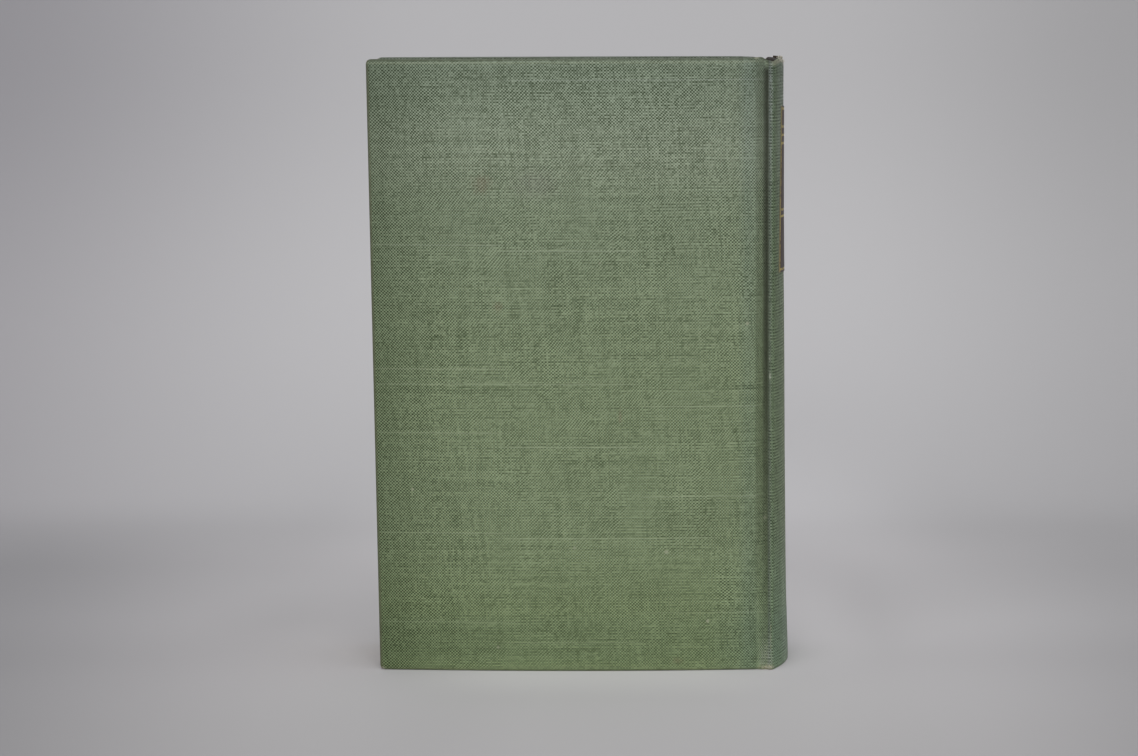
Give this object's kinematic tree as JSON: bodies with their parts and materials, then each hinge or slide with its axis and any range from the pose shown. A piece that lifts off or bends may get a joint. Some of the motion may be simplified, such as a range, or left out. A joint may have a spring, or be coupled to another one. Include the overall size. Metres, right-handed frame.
{
  "type": "hardback book",
  "caption": "Cloth-bound hardback book with a rounded spine, grooved joints, bowed boards, a spine label and covers that open.",
  "frame": {"origin": "centre of the closed book's footprint, on the surface that it stands on", "axes": "+Z from tail to head, +X from the fore-edge to the spine, +Y from the rear cover to the front cover"},
  "size_m": [0.1322, 0.0388, 0.197],
  "materials": {
    "pages": "trimmed page edges, toned with age",
    "endpaper": "matt wove paper",
    "gauze": "open stiffened gauze",
    "lining_paper": "kraft paper",
    "headband_thread": "striped cotton bead",
    "inlay_card": "thin card",
    "bookcloth": "green linen-weave bookcloth with slubs",
    "label_leather": "dark leather tooled in gold",
    "millboard": "dense grey-brown millboard"
  },
  "bodies": {
    "book_block": {"text_block": "pages", "front_flyleaf": "endpaper", "rear_flyleaf": "endpaper", "mull": "gauze", "back_lining": "lining_paper", "headband": "headband_thread", "tailband": "headband_thread", "spine_inlay": "inlay_card", "spine_cloth": "bookcloth", "spine_label": "label_leather"},
    "front_cover": {"front_board": "millboard", "front_cloth": "bookcloth", "front_mull_flap": "gauze", "front_pastedown": "endpaper"},
    "rear_cover": {"rear_board": "millboard", "rear_cloth": "bookcloth", "rear_mull_flap": "gauze", "rear_pastedown": "endpaper"}
  },
  "joints": [
    {"name": "front_joint", "type": "hinge", "parent": "book_block", "child": "front_cover", "pos_m": [0.06023, 0.01565, 0.0985], "axis": [0, 0, -1], "range_deg": [0, 180]},
    {"name": "rear_joint", "type": "hinge", "parent": "book_block", "child": "rear_cover", "pos_m": [0.06023, -0.01565, 0.0985], "axis": [0, 0, 1], "range_deg": [0, 180]}
  ]
}
